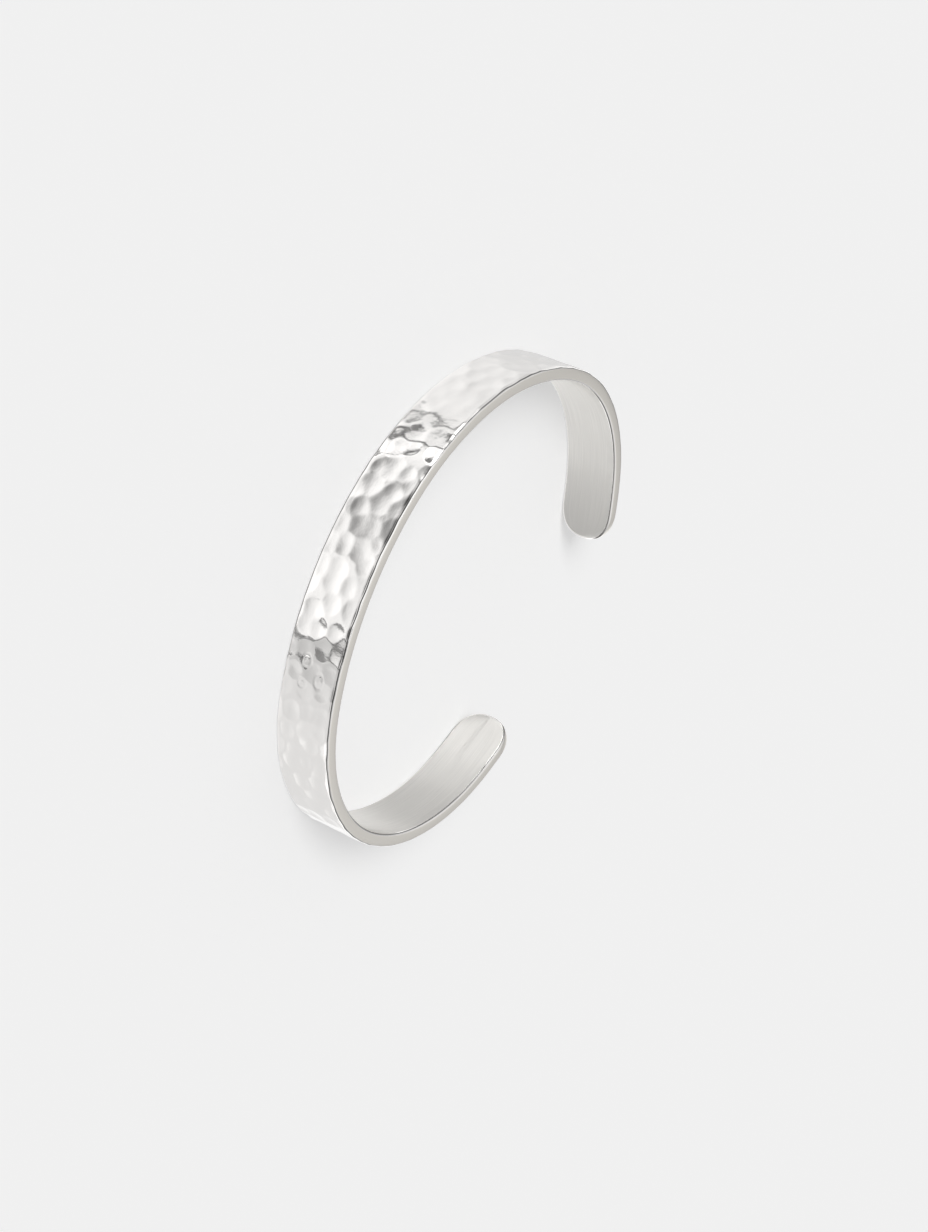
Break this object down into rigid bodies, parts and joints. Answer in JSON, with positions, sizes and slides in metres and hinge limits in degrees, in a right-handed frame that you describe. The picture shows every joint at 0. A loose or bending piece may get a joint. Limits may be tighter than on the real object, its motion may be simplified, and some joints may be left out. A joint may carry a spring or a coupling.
{
  "type": "hammered cuff bracelet",
  "caption": "Open oval cuff bracelet: one flat metal band, hammered outside and smooth inside, with rounded ends and a gap for the wrist.",
  "frame": {"origin": "under the middle of the band's box, on the surface that the lower rim rests on", "axes": "+Z is the wrist axis, from the lower rim to the upper; +X is the long way of the oval; +Y points from the back of the cuff to the gap between its ends"},
  "size_m": [0.069, 0.0572, 0.008],
  "materials": {
    "silver": "sterling silver: hammered and polished outer face, satin rims, lengthwise brushed inner face"
  },
  "bodies": {
    "root": {"cuff_band": "silver"}
  },
  "joints": []
}
